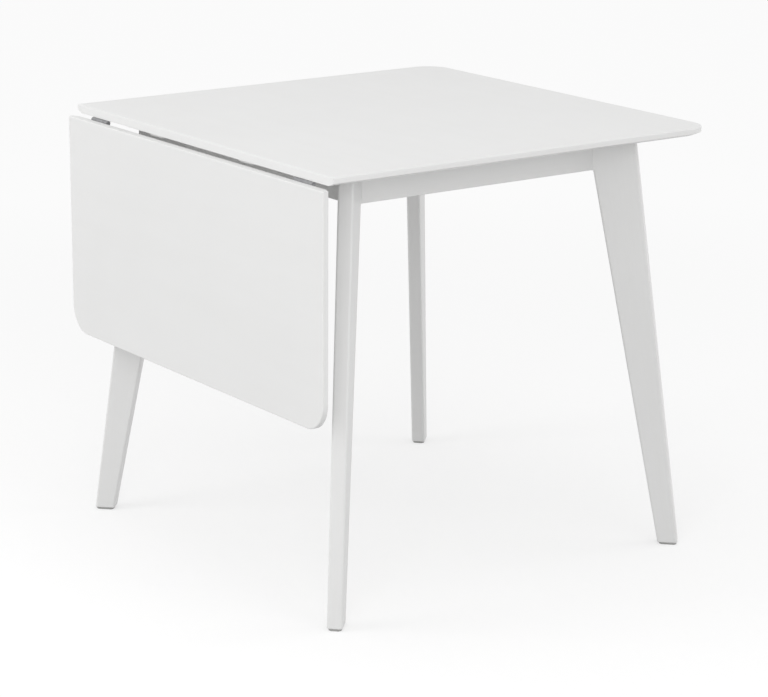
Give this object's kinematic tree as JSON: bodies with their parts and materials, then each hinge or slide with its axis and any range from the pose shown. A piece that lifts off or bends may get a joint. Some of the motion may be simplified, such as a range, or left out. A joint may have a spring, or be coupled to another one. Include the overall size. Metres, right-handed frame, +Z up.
{
  "type": "drop-leaf dining table",
  "caption": "Drop-leaf dining table: a square top with a hinged leaf that hangs down or swings up on pull-out supports, on a railed base with splayed blade legs.",
  "frame": {"origin": "on the floor under the middle of the table with its leaf hanging", "axes": "+Z up, +Y along the hinge line, +X from the leaf towards the far side"},
  "size_m": [0.8196, 0.8, 0.76],
  "materials": {
    "white_lacquer": "satin white lacquer",
    "bare_wood": "sawn and unfinished",
    "hinge_steel": "grey satin",
    "bar_steel": "white powder coat",
    "zinc_steel": "zinc plated",
    "glide_plastic": "moulded"
  },
  "bodies": {
    "table": {"tabletop": "white_lacquer", "leg_hinge_front": "white_lacquer", "leg_hinge_back": "white_lacquer", "leg_far_front": "white_lacquer", "leg_far_back": "white_lacquer", "rail_front": "white_lacquer", "rail_far": "white_lacquer", "rail_back": "white_lacquer", "rail_hinge": "white_lacquer", "corner_block_hinge_front": "bare_wood", "corner_block_hinge_back": "bare_wood", "corner_block_far_front": "bare_wood", "corner_block_far_back": "bare_wood", "foot_glide_hinge_front": "glide_plastic", "foot_glide_hinge_back": "glide_plastic", "foot_glide_far_front": "glide_plastic", "foot_glide_far_back": "glide_plastic", "block_screws": "zinc_steel", "leg_bolts": "zinc_steel", "leg_washers": "zinc_steel", "leg_nuts": "zinc_steel", "top_brackets": "zinc_steel", "bracket_screws": "zinc_steel", "hinge_table_plate_front": "hinge_steel", "hinge_pin_front": "hinge_steel", "hinge_table_plate_back": "hinge_steel", "hinge_pin_back": "hinge_steel", "hinge_screws_table": "hinge_steel", "support_guide_front": "zinc_steel", "support_guide_back": "zinc_steel", "guide_screws": "zinc_steel"},
    "leaf": {"drop_leaf": "white_lacquer", "hinge_leaf_plate_front": "hinge_steel", "hinge_leaf_plate_back": "hinge_steel", "hinge_screws_leaf": "hinge_steel"},
    "support_front": {"support_bar_front": "bar_steel"},
    "support_back": {"support_bar_back": "bar_steel"}
  },
  "joints": [
    {"name": "leaf_hinge", "type": "hinge", "parent": "table", "child": "leaf", "pos_m": [-0.39025, 0, 0.7405], "axis": [0, 1, 0], "range_deg": [0, 90]},
    {"name": "support_slide_front", "type": "slide", "parent": "table", "child": "support_front", "axis": [-1, 0, 0], "range_m": [0, 0.2]},
    {"name": "support_slide_back", "type": "slide", "parent": "table", "child": "support_back", "axis": [-1, 0, 0], "range_m": [0, 0.2]}
  ]
}
